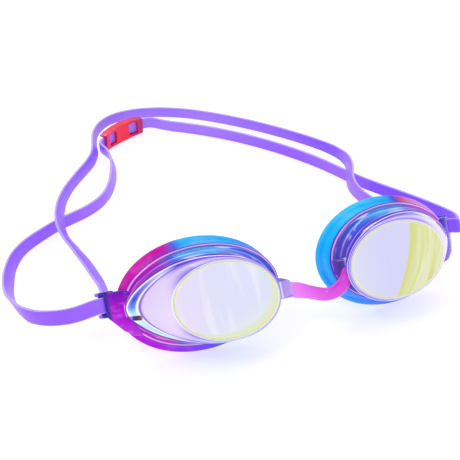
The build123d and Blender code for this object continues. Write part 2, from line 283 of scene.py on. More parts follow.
def spline(points, first, last):
    """Clamped cubic through points by chord length, as (knots, value, slope)."""
    p = np.array([tuple(q) for q in points], float)
    knots = np.concatenate([[0], np.cumsum(np.linalg.norm(np.diff(p, axis=0), axis=1))])
    n = len(p)
    step = np.diff(knots)
    rows = np.zeros((n, n))
    right = np.zeros((n, 3))
    rows[0, 0] = rows[-1, -1] = 1
    right[0], right[-1] = tuple(first), tuple(last)
    for i in range(1, n - 1):
        rows[i, i - 1] = step[i]
        rows[i, i] = 2 * (step[i - 1] + step[i])
        rows[i, i + 1] = step[i - 1]
        before = (p[i] - p[i - 1]) / step[i - 1] * step[i]
        after = (p[i + 1] - p[i]) / step[i] * step[i - 1]
        right[i] = 3 * (before + after)
    slopes = np.linalg.solve(rows, right)

    def at(s):
        k = min(max(int(np.searchsorted(knots, s)) - 1, 0), n - 2)
        h = step[k]
        t = (s - knots[k]) / h
        value = (
            (2 * t**3 - 3 * t**2 + 1) * p[k]
            + (t**3 - 2 * t**2 + t) * h * slopes[k]
            + (3 * t**2 - 2 * t**3) * p[k + 1]
            + (t**3 - t**2) * h * slopes[k + 1]
        )
        slope = (
            (6 * t**2 - 6 * t) / h * p[k]
            + (3 * t**2 - 4 * t + 1) * slopes[k]
            + (6 * t - 6 * t**2) / h * p[k + 1]
            + (3 * t**2 - 2 * t) * slopes[k + 1]
        )
        return Vector(value), Vector(slope).normalized()

    return knots, at


# --------------------------------------------------------------- materials
def srgb(code):
    """Linear colour of a hex code."""
    channels = [int(code[i : i + 2], 16) / 255 for i in (0, 2, 4)]
    return tuple(c / 12.92 if c <= 0.04045 else ((c + 0.055) / 1.055) ** 2.4 for c in channels)


class Finish:
    """A procedural material, with short calls for its nodes."""

    def __init__(self, name):
        self.material = bpy.data.materials.new(name)
        self.material.use_nodes = True
        self.nodes = self.material.node_tree.nodes
        self.links = self.material.node_tree.links
        self.shader = self.nodes["Principled BSDF"]
        self.place = self.nodes.new("ShaderNodeTexCoord").outputs["Object"]

    def put(self, socket, value):
        """Links an output to a socket, or sets a constant: text is a hex code."""
        if isinstance(value, bpy.types.NodeSocket):
            self.links.new(value, socket)
        else:
            socket.default_value = (*srgb(value), 1) if isinstance(value, str) else value

    def calc(self, operation, a, b=0.0, clamp=False):
        """One step of arithmetic on outputs or numbers."""
        node = self.nodes.new("ShaderNodeMath")
        node.operation = operation
        node.use_clamp = clamp
        self.put(node.inputs[0], a)
        self.put(node.inputs[1], b)
        return node.outputs[0]

    def times(self, a, b):
        """Product of two values."""
        return self.calc("MULTIPLY", a, b)

    def weigh(self, a, x, b, y):
        """x times a plus y times b."""
        return self.calc("ADD", self.times(a, x), self.times(b, y))

    def gap(self, value, middle):
        """Distance of a value from a middle."""
        return self.calc("ABSOLUTE", self.calc("SUBTRACT", value, middle))

    def wrap(self):
        """Share of a turn along a ring, and the number of the ring."""
        source = self.nodes.new("ShaderNodeUVMap")
        source.uv_map = "wrap"
        split = self.nodes.new("ShaderNodeSeparateXYZ")
        self.links.new(source.outputs[0], split.inputs[0])
        return split.outputs[0], split.outputs[1]

    def along(self, direction, origin):
        """Distance in millimetres from an origin along a direction."""
        scale = 1 / MM
        node = self.nodes.new("ShaderNodeVectorMath")
        node.operation = "DOT_PRODUCT"
        self.put(node.inputs[0], self.place)
        node.inputs[1].default_value = direction * scale
        return self.calc("SUBTRACT", node.outputs["Value"], direction.dot(origin) * scale)

    def face(self, side):
        """Outward and upward distances from a lens centre."""
        centre = place(face_point(side, 0, 0, 0))
        return self.along(OUTWARD * side, centre), self.along(UPWARD, centre)

    def lens_radius(self, u, v, centre=(0.0, 0.0)):
        """1 on the lens's edge and less inside it, with its centre moved if given."""
        cant = math.radians(LENS_CANT)
        u = self.calc("SUBTRACT", u, centre[0])
        v = self.calc("SUBTRACT", v, centre[1])
        p = self.weigh(u, math.cos(cant) / LENS_A, v, math.sin(cant) / LENS_A)
        q = self.weigh(u, -math.sin(cant) / LENS_B, v, math.cos(cant) / LENS_B)
        return self.calc("SQRT", self.calc("ADD", self.times(p, p), self.times(q, q)))

    def step(self, value, start, end):
        """0 at the start, 1 at the end, smooth between; the start may be the higher."""
        node = self.nodes.new("ShaderNodeMapRange")
        node.interpolation_type = "SMOOTHSTEP"
        self.put(node.inputs["Value"], value)
        node.inputs["From Min"].default_value = start
        node.inputs["From Max"].default_value = end
        return node.outputs["Result"]

    def between(self, value, rise, full, ease, end):
        """1 from full to ease, 0 below rise and above end."""
        return self.times(self.step(value, rise, full), self.step(value, end, ease))

    def noise(self, vector, scale, detail):
        """Soft noise from 0 to 1 over a vector."""
        node = self.nodes.new("ShaderNodeTexNoise")
        self.put(node.inputs["Vector"], vector)
        node.inputs["Scale"].default_value = scale
        node.inputs["Detail"].default_value = detail
        return node.outputs["Fac"]

    def streaks(self, a, b, cells, detail=2.0):
        """Noise over two values, with its own cells per unit of each."""
        node = self.nodes.new("ShaderNodeCombineXYZ")
        for socket, value, per_unit in zip(node.inputs, (a, b), cells):
            self.put(socket, self.times(value, per_unit))
        return self.noise(node.outputs[0], 1.0, detail)

    def ramp(self, value, stops):
        """Colours along a value: stops are (value, hex code or grey level)."""
        low, high = stops[0][0], stops[-1][0]
        share = self.calc("DIVIDE", self.calc("SUBTRACT", value, low), high - low, clamp=True)
        node = self.nodes.new("ShaderNodeValToRGB")
        elements = node.color_ramp.elements
        while len(elements) < len(stops):
            elements.new(0.5)
        for element, (at, colour) in zip(elements, stops):
            element.position = (at - low) / (high - low)
            element.color = (*(srgb(colour) if isinstance(colour, str) else [colour] * 3), 1)
        self.links.new(share, node.inputs[0])
        return node.outputs["Color"]

    def lay(self, below, above, share, strength=1.0):
        """The colour above over the one below, as far as share times strength."""
        node = self.nodes.new("ShaderNodeMix")
        node.data_type = "RGBA"
        self.put(node.inputs[0], share if strength == 1.0 else self.times(share, strength))
        self.put(node.inputs[6], below)
        self.put(node.inputs[7], above)
        return node.outputs[2]

    def cover(self, colour, surface):
        """Colour of the surface and of its faint glow, then the surface's own settings."""
        self.put(self.shader.inputs["Base Color"], colour)
        self.put(self.shader.inputs["Emission Color"], colour)
        for name, value in surface.items():
            self.put(self.shader.inputs[name], value)

    def grain(self, cells, strength, height=0.0002, detail=2.0):
        """Fine relief, with cells per metre and the height in metres."""
        node = self.nodes.new("ShaderNodeBump")
        node.inputs["Strength"].default_value = strength
        node.inputs["Distance"].default_value = height
        self.links.new(self.noise(self.place, cells, detail), node.inputs["Height"])
        self.links.new(node.outputs[0], self.shader.inputs["Normal"])


# Settings of each kind of surface, under the shader's own names. In the goggle parts Emission
# Strength is a faint painted glow that stands in for light passing through them; the floor's
# keeps the floor evenly bright.
MIRROR = {
    "Metallic": 0.3, "Roughness": 0.12, "Coat Weight": 0.5, "Coat Roughness": 0.05,
    "Emission Strength": 0.08,
}
CLEAR_PLASTIC = {
    "Roughness": 0.07, "IOR": 1.35, "Transmission Weight": 0.03, "Specular IOR Level": 0.22,
    "Coat Weight": 0.05, "Coat Roughness": 0.03, "Emission Strength": 0.05,
}
ARM_PLASTIC = {**CLEAR_PLASTIC, "Roughness": 0.08, "Coat Roughness": 0.04}
LUG_PLASTIC = {
    **CLEAR_PLASTIC, "IOR": 1.5, "Transmission Weight": 0.08, "Specular IOR Level": 0.4,
    "Coat Weight": 0.4,
}
SEAL_SILICONE = {
    "Roughness": 0.35, "Subsurface Weight": 0.1, "Subsurface Scale": 0.002, "IOR": 1.42,
    "Coat Weight": 0.04, "Coat Roughness": 0.15, "Specular IOR Level": 0.08,
    "Emission Strength": 0.1,
}
STRAP_SILICONE = {
    "Roughness": 0.38, "Coat Weight": 0.1, "Coat Roughness": 0.3, "Specular IOR Level": 0.35,
    "Emission Strength": 0.1,
}
BRIDGE_RUBBER = {
    "Roughness": 0.22, "Subsurface Weight": 0.1, "Subsurface Scale": 0.002, "IOR": 1.42,
    "Coat Weight": 0.3, "Coat Roughness": 0.1, "Emission Strength": 0.08,
}
CLIP_PLASTIC = {
    "Roughness": 0.18, "Specular IOR Level": 0.3, "Coat Weight": 0.15, "Coat Roughness": 0.05,
    "Emission Strength": 0.06,
}
FLOOR_SURFACE = {
    "Roughness": 0.7, "Specular IOR Level": 0.05, "Emission Color": (1, 1, 1, 1),
    "Emission Strength": 0.56,
}

# Colours across a lens, from its nose end to its temple end
LENS_TINTS = {
    "left": [(-18, "D9E0FA"), (2, "DDDDF8"), (18, "E6DBF6")],
    "right": [(-18, "DDDDF4"), (-4, "D2D3F8"), (18, "DAD5F6")],
}
# Colours of the gold reflection, by the value of its noise
GOLD = [(0.3, "D2D68A"), (0.45, "DDE29C"), (0.58, "E8EAC4"), (0.75, "DADAC0")]


def left_coating_and_reflection(f, u, v):
    """Painted pale reflection streaks, a duller lower part, and a yellow-green crescent along
    its edge.
    """
    colour = f.ramp(u, LENS_TINTS["left"])
    # painted reflection: pale sheen streaks across the lens
    sheen = f.streaks(u, v, (0.22, 0.03))
    colour = f.lay(colour, "F4F4FF", f.step(sheen, 0.5, 0.7), 0.45)
    lower = f.weigh(u, -0.35, v, -1.0)
    colour = f.lay(colour, "E9ECE4", f.step(lower, 5.0, 12.0), 0.5)
    crescent = f.lens_radius(u, v, centre=(2.3, 2.1))
    colour = f.lay(colour, "DFE6CF", f.step(crescent, 0.985, 1.03))
    return f.lay(colour, "E3E7B4", f.step(crescent, 1.10, 1.15))


def right_coating_and_reflection(f, u, v):
    """Painted streaky gold reflection past a line that leans and bows across the lens."""
    line = f.calc("ADD", 3.8, f.times(v, 0.41))
    bow = f.times(f.times(v, v), 0.012)
    past = f.calc("SUBTRACT", u, f.calc("SUBTRACT", line, bow))
    gold = f.ramp(f.streaks(past, v, (0.42, 0.045), 2.5), GOLD)
    gold = f.lay(gold, "D3DA86", f.step(past, 6.0, 0.0))
    return f.lay(f.ramp(u, LENS_TINTS["right"]), gold, f.step(past, -0.25, 0.25))


COATINGS_AND_REFLECTIONS = {"left": left_coating_and_reflection, "right": right_coating_and_reflection}


def lens_finish(word):
    """Mirror-coated lens with a yellow line round its rim, and painted reflections across it.
    """
    f = Finish(word + "_lens_coating_and_reflection")
    u, v = f.face(SIDES[word])
    colour = COATINGS_AND_REFLECTIONS[word](f, u, v)
    colour = f.lay(colour, "EDEFA4", f.step(f.lens_radius(u, v), 0.972, 0.984))
    f.cover(colour, MIRROR)
    f.grain(cells=90, strength=0.02, height=0.0004, detail=1.0)
    return f.material


# Colours across the upper and the lower half of a seal, from the nose to the temple
SEAL_UPPER = {
    "left": [
        (-24, "7A8CF2"), (-14, "1E86F0"), (-8, "00A6F4"), (6.5, "00AEF6"),
        (10, "4A58D8"), (13, "BC04A0"), (25, "CC08AC"), (33, "A80098"),
    ],
    "right": [
        (-24, "00AEF8"), (-4, "00BCFF"), (9, "00A4EE"), (12, "2848D0"),
        (15, "C83C86"), (20, "D07CC0"), (33, "C49CE8"),
    ],
}
SEAL_LOWER = {
    "left": [
        (-24, "6E7CF0"), (-10, "3F7CF2"), (2, "5A48EC"), (12, "8B2BE6"),
        (22, "A800D8"), (33, "B800C8"),
    ],
    "right": [
        (-24, "0C9CEC"), (-10, "2A86F0"), (4, "5C6CF0"), (18, "9A7CF0"), (33, "B49CF0"),
    ],
}
# A darker line round the seal: its depth, its lean in degrees and half its width
GROOVE_DEPTH = 16.2
GROOVE_LEAN = 5
GROOVE_HALF = 0.9


def seal_finish(word):
    """Soft silicone with bands of colour and a darker line round it."""
    f = Finish(word + "_silicone")
    side = SIDES[word]
    u, v = f.face(side)
    upper, lower = f.ramp(u, SEAL_UPPER[word]), f.ramp(u, SEAL_LOWER[word])
    colour = f.lay(lower, upper, f.step(v, -7, 1))
    depth = f.along(BACKWARD, place(face_point(side, 0, 0, 0)))
    depth = f.calc("SUBTRACT", depth, f.times(u, math.tan(math.radians(GROOVE_LEAN))))
    from_groove = f.calc("DIVIDE", f.gap(depth, GROOVE_DEPTH), GROOVE_HALF)
    colour = f.lay(colour, "1A48C8", f.calc("SUBTRACT", 1.0, from_groove, clamp=True), 0.3)
    cloud = f.noise(f.place, 140.0, 3.0)
    colour = f.lay(colour, "FFFFFF", f.step(cloud, 0.45, 0.75), 0.06)
    f.cover(colour, SEAL_SILICONE)
    f.grain(cells=900, strength=0.05)
    return f.material


# Lines of colour round a frame's nose and temple ends, by the number of the ring; the white
# lines among them are painted highlights on the rim and the crest
NOSE_LINES = [
    (0, "FFFFFF"), (3.0, "FFFFFF"), (3.6, "8090F0"), (4.2, "FFFFFF"), (5.0, "8468EA"),
    (7.0, "D6C6FA"), (8.6, "7C50E0"), (9.2, "3C10C0"), (10.3, "7C50EC"), (11.0, "FFFFFF"),
    (11.6, "3008B0"), (12.6, "5A30E0"), (13.2, "2058EC"), (15.6, "1CA8F2"),
    (16.2, "5A10A8"), (16.8, "E8C8FA"), (17.3, "7024DC"), (19.0, "4A0CB8"), (20, "4A0CB8"),
]
TEMPLE_LINES = [
    (0, "FFFFFF"), (3.0, "FFFFFF"), (3.6, "8C9CF2"), (4.2, "FFFFFF"), (5.0, "E6D8F6"),
    (8.3, "DECCF2"), (8.65, "6A04C8"), (8.9, "FFFFFF"), (9.3, "9CE4F0"), (9.8, "4048EA"),
    (10.2, "F2FBFF"), (11.0, "FFFFFF"), (11.6, "2C04A0"), (12.5, "B408B8"),
    (13.8, "7010D0"), (16.3, "C010C0"), (16.8, "F4C0F4"), (17.4, "A008B8"), (20, "A008B8"),
]
# Fine painted highlight lines and painted dark lines round the wall, for a glassy look, as
# shares
PAINTED_HIGHLIGHT_LINES = [
    (12, 0), (12.8, 0), (13.0, 1), (13.2, 0), (14.7, 0), (14.9, 0.8), (15.1, 0), (17, 0),
]
PAINTED_DARK_LINES = [
    (12, 0), (13.3, 0), (13.6, 0.9), (13.9, 0), (15.2, 0), (15.5, 0.9), (15.8, 0), (17, 0),
]
# Colours of the wall, from the nose to the temple
WALL_COLOURS = {
    "left": [
        (-22, "3C1CD4"), (-11, "2038E6"), (-5, "008CEE"), (-1, "00ACF4"), (9, "00A4F0"),
        (13, "3A30CC"), (17, "B404B4"), (32, "B80CB4"),
    ],
    "right": [
        (-22, "6408A8"), (-15, "5410BC"), (-8, "1C58E4"), (2, "08A8EE"), (9, "1490EA"),
        (13, "5818C0"), (20, "8A4CF0"), (32, "B088F4"),
    ],
}
# The shoulder's painted iridescent reflection from below to above its tip: cyan, pale yellow at
# the tip, then blue
RAINBOW_REFLECTION = [
    (-14, "E8FAFF"), (-6, "9CE0F0"), (-2.5, "CDEEF2"), (-0.5, "EFF5C8"), (1.5, "B4E6F2"),
    (3.5, "4A84F2"), (6, "3A28E8"), (10, "8478F2"), (14, "F4F0FF"),
]
# The small dark patch near the shoulder's tip, from its nose side outwards
PATCH_COLOURS = [(26.5, "8A6A30"), (27.4, "6A3A30"), (28.0, "3A0A70"), (30.5, "5A14C0")]
# Rings between which each thing shows: rise, full, ease, end
WALL_RINGS = (12.3, 13.3, 15.5, 16.2)
SHOULDER_RINGS = (8.95, 9.2, 10.35, 10.7)
PATCH_RINGS = (8.6, 8.8, 11.0, 11.2)
STREAK_RINGS = (8.8, 9.6, 15.8, 16.6)


def frame_finish(word):
    """Clear moulded frame with bands, lines and streaks of colour round its walls, among them
    painted highlights, a painted iridescent reflection and painted reflection streaks.
    """
    f = Finish(word + "_frame_plastic")
    u, v = f.face(SIDES[word])
    turn, ring = f.wrap()
    temple = f.step(u, 12.0, 20.0)
    # the lines waver a little as they go round
    wave = f.calc("SUBTRACT", f.streaks(u, v, (0.05, 0.05)), 0.5)
    line = f.calc("ADD", ring, f.times(wave, 0.9))
    # the white lines among these are painted highlights on the rim and the crest
    colour = f.lay(f.ramp(line, NOSE_LINES), f.ramp(line, TEMPLE_LINES), temple)
    wall_colour = f.ramp(u, WALL_COLOURS[word])
    colour = f.lay(colour, wall_colour, f.between(ring, *WALL_RINGS), 0.8)
    # painted iridescent reflection on the shoulder towards the temple
    on_shoulder = f.times(f.between(ring, *SHOULDER_RINGS), temple)
    colour = f.lay(colour, f.ramp(v, RAINBOW_REFLECTION), on_shoulder, 0.85)
    # painted highlight lines and dark lines that make the wall look glassy
    colour = f.lay(colour, "EFE4FF", f.ramp(line, PAINTED_HIGHLIGHT_LINES), 0.5)
    colour = f.lay(colour, "3A08C4", f.ramp(line, PAINTED_DARK_LINES), 0.6)
    # small dark patch near the tip of the shoulder
    patch = f.times(f.step(f.gap(u, 28.4), 1.9, 1.6), f.step(f.gap(v, -0.3), 0.95, 0.75))
    patch = f.times(patch, f.between(ring, *PATCH_RINGS))
    colour = f.lay(colour, f.ramp(u, PATCH_COLOURS), patch)
    # painted reflections: light and dark streaks on the clear wall
    streak = f.streaks(turn, ring, (11.0, 1.1), 1.5)
    wall = f.between(ring, *STREAK_RINGS)
    highlight_share = f.times(f.step(streak, 0.58, 0.68), wall)
    dark_reflection_share = f.times(f.step(streak, 0.44, 0.34), wall)
    colour = f.lay(colour, "F6E8FF", highlight_share, 0.6)
    colour = f.lay(colour, "4A08C4", dark_reflection_share, 0.5)
    f.cover(colour, CLEAR_PLASTIC)
    return f.material


# Colours of an arm from below to above, the right one darkened with painted shade where the
# strap passes behind it, and the painted shade at its end by the rails
ARM_COLOURS = {
    "left": [(-7, "B840D8"), (-1, "B004D4"), (5, "A400C4"), (8, "7A04BC"), (12, "3A10A8")],
    "right": [(-7, "A080F0"), (3, "5A38D8"), (12, "3A10B0")],
}
ARM_END_SHADE = {"left": "3A1C9C", "right": "6A3CE0"}
# Colours of a lug from its free end to the cup, or of the short boss; their white bands are
# painted highlights on the clear plastic
LUG_COLOURS = {
    "left": [
        (-29, "FFFFFF"), (-27.6, "6A5CE0"), (-27.0, "F4EEFF"), (-25.4, "C9B2FA"),
        (-21.6, "B9A0F8"), (-21.0, "FFFFFF"), (-19.8, "5A4AE0"), (-18, "8CA0F8"),
    ],
    "right": [
        (-22, "5A14C0"), (-20.4, "2A0688"), (-19.0, "5A18C0"), (-18, "F4EEFF"),
        (-16, "6A20C8"),
    ],
}


def arm_finish(word):
    """Tinted clear plastic of the arm that carries the strap post, with painted shade at its
    end by the rails.
    """
    f = Finish(word + "_arm_plastic")
    u, v = f.face(SIDES[word])
    wave = f.streaks(u, v, (0.16, 0.5))
    colour = f.lay(f.ramp(v, ARM_COLOURS[word]), "E08CF6", f.step(wave, 0.5, 0.8), 0.35)
    # painted shade at the arm's end by the rails
    colour = f.lay(colour, ARM_END_SHADE[word], f.step(u, 34.3, 35.4))
    colour = f.lay(colour, "9A70F0", f.step(u, 37.0, 37.6))
    f.cover(colour, ARM_PLASTIC)
    return f.material


def lug_finish(word):
    """Clear plastic lug with painted white highlights: the left one is lavender with a darker
    top and bottom.
    """
    f = Finish(word + "_lug_plastic")
    u, v = f.face(SIDES[word])
    # the white bands in these colours are painted highlights
    colour = f.ramp(u, LUG_COLOURS[word])
    if word == "left":
        colour = f.lay(colour, "7464E4", f.step(f.gap(v, -1.4), 2.5, 3.1), 0.8)
    f.cover(colour, LUG_PLASTIC)
    return f.material


# 1 on the strap's two narrow edges, where a painted highlight goes, and 0 on its two wide
# faces, along its outline
STRAP_EDGE_HIGHLIGHT = [
    (0, 1), (0.42, 1), (0.44, 0), (0.5, 0), (0.52, 1), (0.92, 1), (0.94, 0), (1, 0),
]
# Colours of the bridge from left to right, and of the clip along its chord
BRIDGE_COLOURS = [
    (-8, "F090F6"), (-1, "E868EE"), (6, "DC48DC"), (11, "D034D0"), (15, "C428C4"),
]
CLIP_COLOURS = [
    (-14, "CC0C7C"), (-8, "E80848"), (4, "EE0A3C"), (9, "C80C58"), (14, "9C0C78"),
]


def strap_finish():
    """Satin silicone with painted light and shade: paler where lit far back, painted highlights
    on its narrow edges, and painted shade deeper by the right cup.
    """
    f = Finish("strap_silicone")
    start = place((0, 0, 0))
    x = f.along(OUTWARD, start)
    y = f.along(Vector((0, 1, 0)), start)
    cloud = f.noise(f.place, 25.0, 3.0)
    colour = f.lay("8A50F6", "9A66FA", f.step(cloud, 0.3, 0.7))
    # painted light: the lit faces far back are paler
    colour = f.lay(colour, "B090FC", f.step(y, 120, 180), 0.45)
    # painted shade: deeper on the strand by the right cup
    shade_by_right_cup = f.times(f.step(x, 56, 74), f.step(y, 110, 80))
    colour = f.lay(colour, "6C28F4", shade_by_right_cup, 0.7)
    # painted highlights along the narrow edges
    colour = f.lay(colour, "CDBBFA", f.ramp(f.wrap()[0], STRAP_EDGE_HIGHLIGHT), 0.6)
    f.cover(colour, STRAP_SILICONE)
    f.grain(cells=1500, strength=0.06)
    return f.material


def bridge_finish():
    """Pink translucent bridge, deeper to the right."""
    f = Finish("bridge_rubber")
    f.cover(f.ramp(f.along(OUTWARD, place((0, 0, 0))), BRIDGE_COLOURS), BRIDGE_RUBBER)
    f.grain(cells=700, strength=0.04)
    return f.material


def clip_finish():
    """Glossy crimson clip, pinker towards its ends."""
    f = Finish("clip_plastic")
    turn = math.radians(ARC_MIDDLE - 90)
    chord = Vector((math.cos(turn), math.sin(turn), 0))
    f.cover(f.ramp(f.along(chord, place(ARC_CENTRE)), CLIP_COLOURS), CLIP_PLASTIC)
    f.grain(cells=500, strength=0.03)
    return f.material


def paint(piece, material):
    """Leaves a piece with one material."""
    piece.data.materials.clear()
    piece.data.materials.append(material)


# ------------------------------------------------------------- CAD pieces
def soften(node, width):
    """Rounds a CAD piece's sharp edges as a mould would."""
    weld = node.modifiers.new("weld", "WELD")
    weld.merge_threshold = 2e-6
    bevel = node.modifiers.new("bevel", "BEVEL")
    bevel.width = width * MM
    bevel.segments = 3
    bevel.limit_method = "ANGLE"
    bevel.angle_limit = math.radians(32)
    node.modifiers.new("normals", "WEIGHTED_NORMAL")


for word in SIDES:
    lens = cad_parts[word + "_lens"]
    paint(lens, lens_finish(word))
    soften(lens, width=0.2)

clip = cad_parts["rear_clip"]
paint(clip, clip_finish())
soften(clip, width=0.3)


# ----------------------------------------------------------------- frames
# Steps round a frame
FRAME_AROUND = 160
# A frame's section goes from the lens seat over the rim, shoulder and wall to the
# flange and back inside. Its points are a half width, a half height and a depth.
SEAT_AND_RIM = [
    (17.6, 12.3, 1.85), (18.03, 12.73, 1.8), (18.03, 12.73, 0.0), (18.2, 12.9, -0.2),
    (18.5, 13.2, -0.15), (18.75, 13.45, 0.15),
]
# The shoulder's crest and the step past it, each at the nose and at the temple
CREST = ((19.3, 13.95, 0.9), (25.8, 16.1, 11.4))
PAST_CREST = ((19.75, 14.4, 1.6), (26.2, 16.6, 11.9))
CREST_DROP = 0.15
# Points between the rim and the crest, and how far they bulge forwards
SHOULDER_SHARES = (0.2, 0.4, 0.6, 0.8, 0.93)
SHOULDER_BULGE = 1.1
# How sharply the shoulder grows towards the temple, and how much its tip narrows
SHOULDER_POWER = 2.2
TIP_TAPER = 0.22
# The waist's centre, half width, half height, depth and lean in degrees
WAIST = ((3.2, 1.4), 21.2, 15, 6, 5.5)
WAIST_AT_TEMPLE = (26.2, 16.7, 11.9)
FLANGE_ROOT = (24.6, 15.2, 11.6)
FLANGE_EDGE = [
    (25.5, 16.1, 11.95), (26.3, 16.9, 12.05), (26.6, 17.2, 12.4), (26.6, 17.2, 13.0),
    (26.3, 16.9, 13.4), (23.9, 14.6, 13.4), (23.6, 14.3, 12.8),
]
# The inside's centre, half width and half height
INSIDE = ((3.0, 1.3), 19.4, 13.0)


def frame_column(turn):
    """The section in one direction from the lens centre, as (u, v, depth) points."""
    to_temple = math.cos(turn)
    pull = ((1 + to_temple) / 2) ** SHOULDER_POWER
    tip = 1 - TIP_TAPER * max(to_temple, 0) ** 3

    def flange(a, b, depth):
        return on_slant(turn, FLANGE_AT, a, b, depth, FLANGE_LEAN)

    def shoulder(at_nose, at_temple):
        a, b, depth = at_temple
        return mix_points(on_lens(turn, *at_nose), flange(a, b * tip, depth), pull)

    crest, past_crest = shoulder(*CREST), shoulder(*PAST_CREST)
    full_waist = mix_points(crest, flange(*WAIST_AT_TEMPLE), 0.6)
    waist = mix_points(on_slant(turn, *WAIST), full_waist, pull)
    column = [on_lens(turn, *point) for point in SEAT_AND_RIM]
    edge = column[-1]
    for share in SHOULDER_SHARES:
        u, v, depth = mix_points(edge, crest, share)
        column.append((u, v, depth - SHOULDER_BULGE * pull * math.sin(math.pi * share)))
    column += [
        (crest[0], crest[1], crest[2] - CREST_DROP),
        past_crest,
        mix_points(past_crest, waist, 0.6),
        waist,
        mix_points(waist, flange(*FLANGE_ROOT), 0.65),
        *[flange(*point) for point in FLANGE_EDGE],
    ]
    halfway = mix_points(column[-1], column[0], 0.5)
    return [*column, on_slant(turn, *INSIDE, halfway[2], 0)]


def frame_body(word):
    """Closed frame: its section carried round the lens."""
    columns = [frame_column(turn) for turn in turns(FRAME_AROUND)]
    rings = [[face_point(SIDES[word], *point) for point in ring] for ring in zip(*columns)]
    piece = mesh_object(word + "_frame_body", *skin(rings, closed_rings=True), word + "_frame")
    wrap_uv(piece, len(rings), FRAME_AROUND)
    smooth_once(piece)
    paint(piece, frame_finish(word))
    return piece


# Stations of a frame's bars: u, v, depth, half thickness, half height
ARM = [
    (26.4, 0.6, 17.6, 1.1, 7.6), (28.6, 1.6, 18.6, 1.7, 7.9), (31.0, 2.7, 20.6, 1.9, 7.0),
    (33.0, 4.0, 22.8, 1.8, 5.6), (34.2, 4.9, 24.4, 1.7, 4.9), (34.8, 5.3, 25.2, 1.6, 4.6),
]
LUG = {
    "left": [
        (-16.6, -0.3, 4.2, 2.0, 4.4), (-19.6, -0.8, 6.4, 2.2, 3.8),
        (-22.4, -1.4, 8.6, 2.4, 3.5), (-24.0, -1.75, 9.5, 2.3, 3.3),
        (-25.4, -2.05, 10.1, 2.0, 3.0),
    ],
    "right": [
        (-15.4, 1.0, 3.9, 2.0, 3.4), (-17.6, 1.3, 5.2, 2.3, 3.1),
        (-19.6, 1.5, 6.4, 2.3, 2.9), (-21.4, 1.7, 7.4, 2.2, 2.8),
    ],
}
# The two rails that hold a post lie this far above and below its middle.
RAIL_OFFSETS = {"upper": 3.8, "lower": -3.8}
# Their stations: u, depth, half thickness, half height
RAIL = [
    (33.6, 23.8, 1.6, 0.65), (35.2, 26.0, 1.6, 0.65), (36.6, 27.9, 1.55, 0.65),
    (37.3, 28.8, 1.2, 0.62), (37.6, 29.2, 0.7, 0.55),
]
# Half height of a post, and its sides
POST_HALF = 3.9
POST_AROUND = 24


def bar(word, label, stations, material, corner):
    """Upright bar with rounded corners through stations on a frame."""
    middles = [Vector(face_point(SIDES[word], *station[:3])) for station in stations]
    rings = []
    for i, (*_, thick, tall) in enumerate(stations):
        ahead = middles[min(i + 1, len(middles) - 1)] - middles[max(i - 1, 0)]
        across = UPWARD.cross(ahead).normalized()
        radius = min(corner, thick * 0.95, tall * 0.95)
        outline = rounded_section(2 * thick, 2 * tall, radius, 4)
        rings.append([middles[i] + across * x + UPWARD * y for x, y in outline])
    piece = mesh_object(word + label, *skin(rings), word + "_frame")
    paint(piece, material)
    return piece


def round_ends(piece):
    """Bevels a bar's two flat ends."""
    edge = piece.modifiers.new("edge", "BEVEL")
    edge.width = 0.25 * MM
    edge.segments = 2
    edge.limit_method = "ANGLE"
    edge.angle_limit = math.radians(50)


def post(word, material):
    """Round pin between the rails, which the strap wraps."""
    u, v, depth = POST
    rings = []
    for height in (v - POST_HALF, v + POST_HALF):
        middle = Vector(face_point(SIDES[word], u, height, depth))
        rings.append(oval(middle, OUTWARD * POST_RADIUS, BACKWARD * POST_RADIUS, POST_AROUND))
    piece = mesh_object(word + "_post", *skin(rings), word + "_frame")
    paint(piece, material)
    return piece


def frame_pieces(word):
    """All the pieces of one eyecup's frame."""
    body = frame_body(word)
    plastic = arm_finish(word)
    arm = bar(word, "_arm", ARM, plastic, corner=1.0)
    rails = []
    for label, offset in RAIL_OFFSETS.items():
        stations = [(u, POST[1] + offset, depth, thick, tall) for u, depth, thick, tall in RAIL]
        rails.append(bar(word, "_rail_" + label, stations, plastic, corner=0.3))
    pin = post(word, plastic)
    lug = bar(word, "_lug", LUG[word], lug_finish(word), corner=0.8)
    round_ends(arm)
    round_ends(lug)
    for piece in (body, arm, *rails, pin, lug):
        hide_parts(word + "_eyecup")
        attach(piece, word + "_eyepiece")


for word in SIDES:
    frame_pieces(word)


# ------------------------------------------------------------------ seals
# Steps round a seal
SEAL_AROUND = 128
